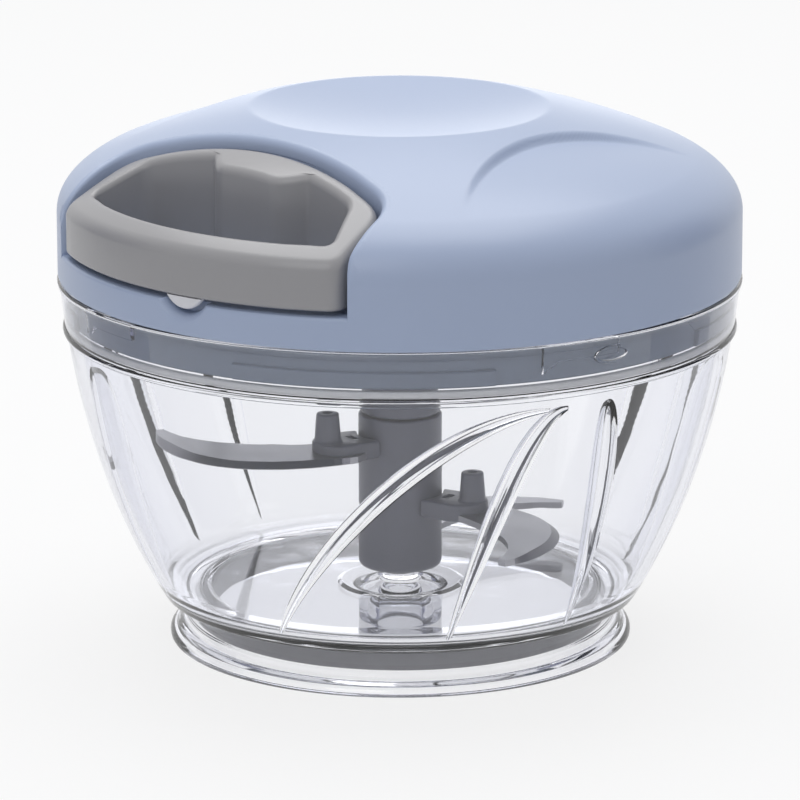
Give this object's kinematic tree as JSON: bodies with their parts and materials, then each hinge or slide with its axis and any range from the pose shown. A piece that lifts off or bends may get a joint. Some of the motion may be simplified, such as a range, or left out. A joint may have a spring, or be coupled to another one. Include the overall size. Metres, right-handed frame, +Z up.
{
  "type": "pull-cord food chopper",
  "caption": "Pull-cord food chopper: clear ribbed bowl, blue domed lid, grey ring handle on a sprung cord that spins a stacked blade rotor.",
  "frame": {"origin": "centre of the non-slip ring's underside, where the chopper stands", "axes": "+Z up along the rotor's axis, -Y the way the handle is pulled, +X to the right as seen from the handle's side"},
  "size_m": [0.13, 0.13, 0.1038],
  "materials": {
    "clear_plastic": "polished clear plastic",
    "soft_grey_rubber": "soft matte",
    "dark_grey_plastic": "satin moulded",
    "blade_steel": "ground stainless steel",
    "silicone": "matte silicone",
    "blue_plastic": "fine satin moulded",
    "slate_plastic": "satin moulded",
    "white_plastic": "natural moulded",
    "spring_steel": "plain steel",
    "cord_fibre": "braided cord",
    "warm_grey_plastic": "satin moulded"
  },
  "bodies": {
    "bowl": {"bowl": "clear_plastic", "nonslip_ring": "soft_grey_rubber"},
    "rotor": {"blade_shaft": "dark_grey_plastic", "blade_arm_top": "dark_grey_plastic", "blade_arm_middle": "dark_grey_plastic", "blade_arm_bottom": "dark_grey_plastic", "blade_top": "blade_steel", "blade_middle": "blade_steel", "blade_bottom": "blade_steel"},
    "seal": {"lid_seal": "silicone"},
    "lid": {"lid_cover": "blue_plastic", "lid_base": "slate_plastic", "hub_bush": "white_plastic", "spool_housing": "white_plastic", "spring_case": "white_plastic", "spring_cover": "white_plastic", "mainspring": "spring_steel", "axle_pin": "spring_steel", "cord_eyelet": "white_plastic", "cover_screw_rear": "spring_steel", "cover_screw_left": "spring_steel", "cover_screw_right": "spring_steel", "housing_screw_rear": "spring_steel", "housing_screw_left": "spring_steel", "housing_screw_right": "spring_steel", "cord_run": "cord_fibre"},
    "drum": {"spool": "white_plastic", "cord_winding": "cord_fibre"},
    "hub": {"drive_hub": "dark_grey_plastic", "pawl_plate": "white_plastic", "hub_clip": "spring_steel"},
    "handle": {"pull_handle": "warm_grey_plastic", "cord_lead": "cord_fibre", "cord_knot": "cord_fibre"}
  },
  "joints": [
    {"name": "rotor_spin", "type": "hinge", "parent": "bowl", "child": "rotor", "pos_m": [0, 0, 0.0138], "axis": [0, 0, 1], "range_deg": [0, 1110]},
    {"name": "lid_lift", "type": "slide", "parent": "bowl", "child": "seal", "axis": [0, 0, 1], "range_m": [0, 0.12]},
    {"name": "lid_twist", "type": "hinge", "parent": "seal", "child": "lid", "pos_m": [0, 0, 0.0715], "axis": [0, 0, 1], "range_deg": [-30, 0]},
    {"name": "handle_pull", "type": "slide", "parent": "lid", "child": "handle", "axis": [0, -1, 0], "range_m": [0, 0.3], "stiffness_N_per_m": 12, "springref_m": -0.08},
    {"name": "drum_spin", "type": "hinge", "parent": "lid", "child": "drum", "pos_m": [0, 0, 0.0702], "axis": [0, 0, 1], "range_deg": [0, 1110]},
    {"name": "hub_spin", "type": "hinge", "parent": "lid", "child": "hub", "pos_m": [0, 0, 0.0438], "axis": [0, 0, 1], "range_deg": [0, 1110]}
  ],
  "couplings": [
    {"joint": "drum_spin", "follows": "handle_pull", "rad_per_m": 64.516},
    {"joint": "hub_spin", "follows": "handle_pull", "rad_per_m": 64.516},
    {"joint": "rotor_spin", "follows": "handle_pull", "rad_per_m": 64.516}
  ]
}
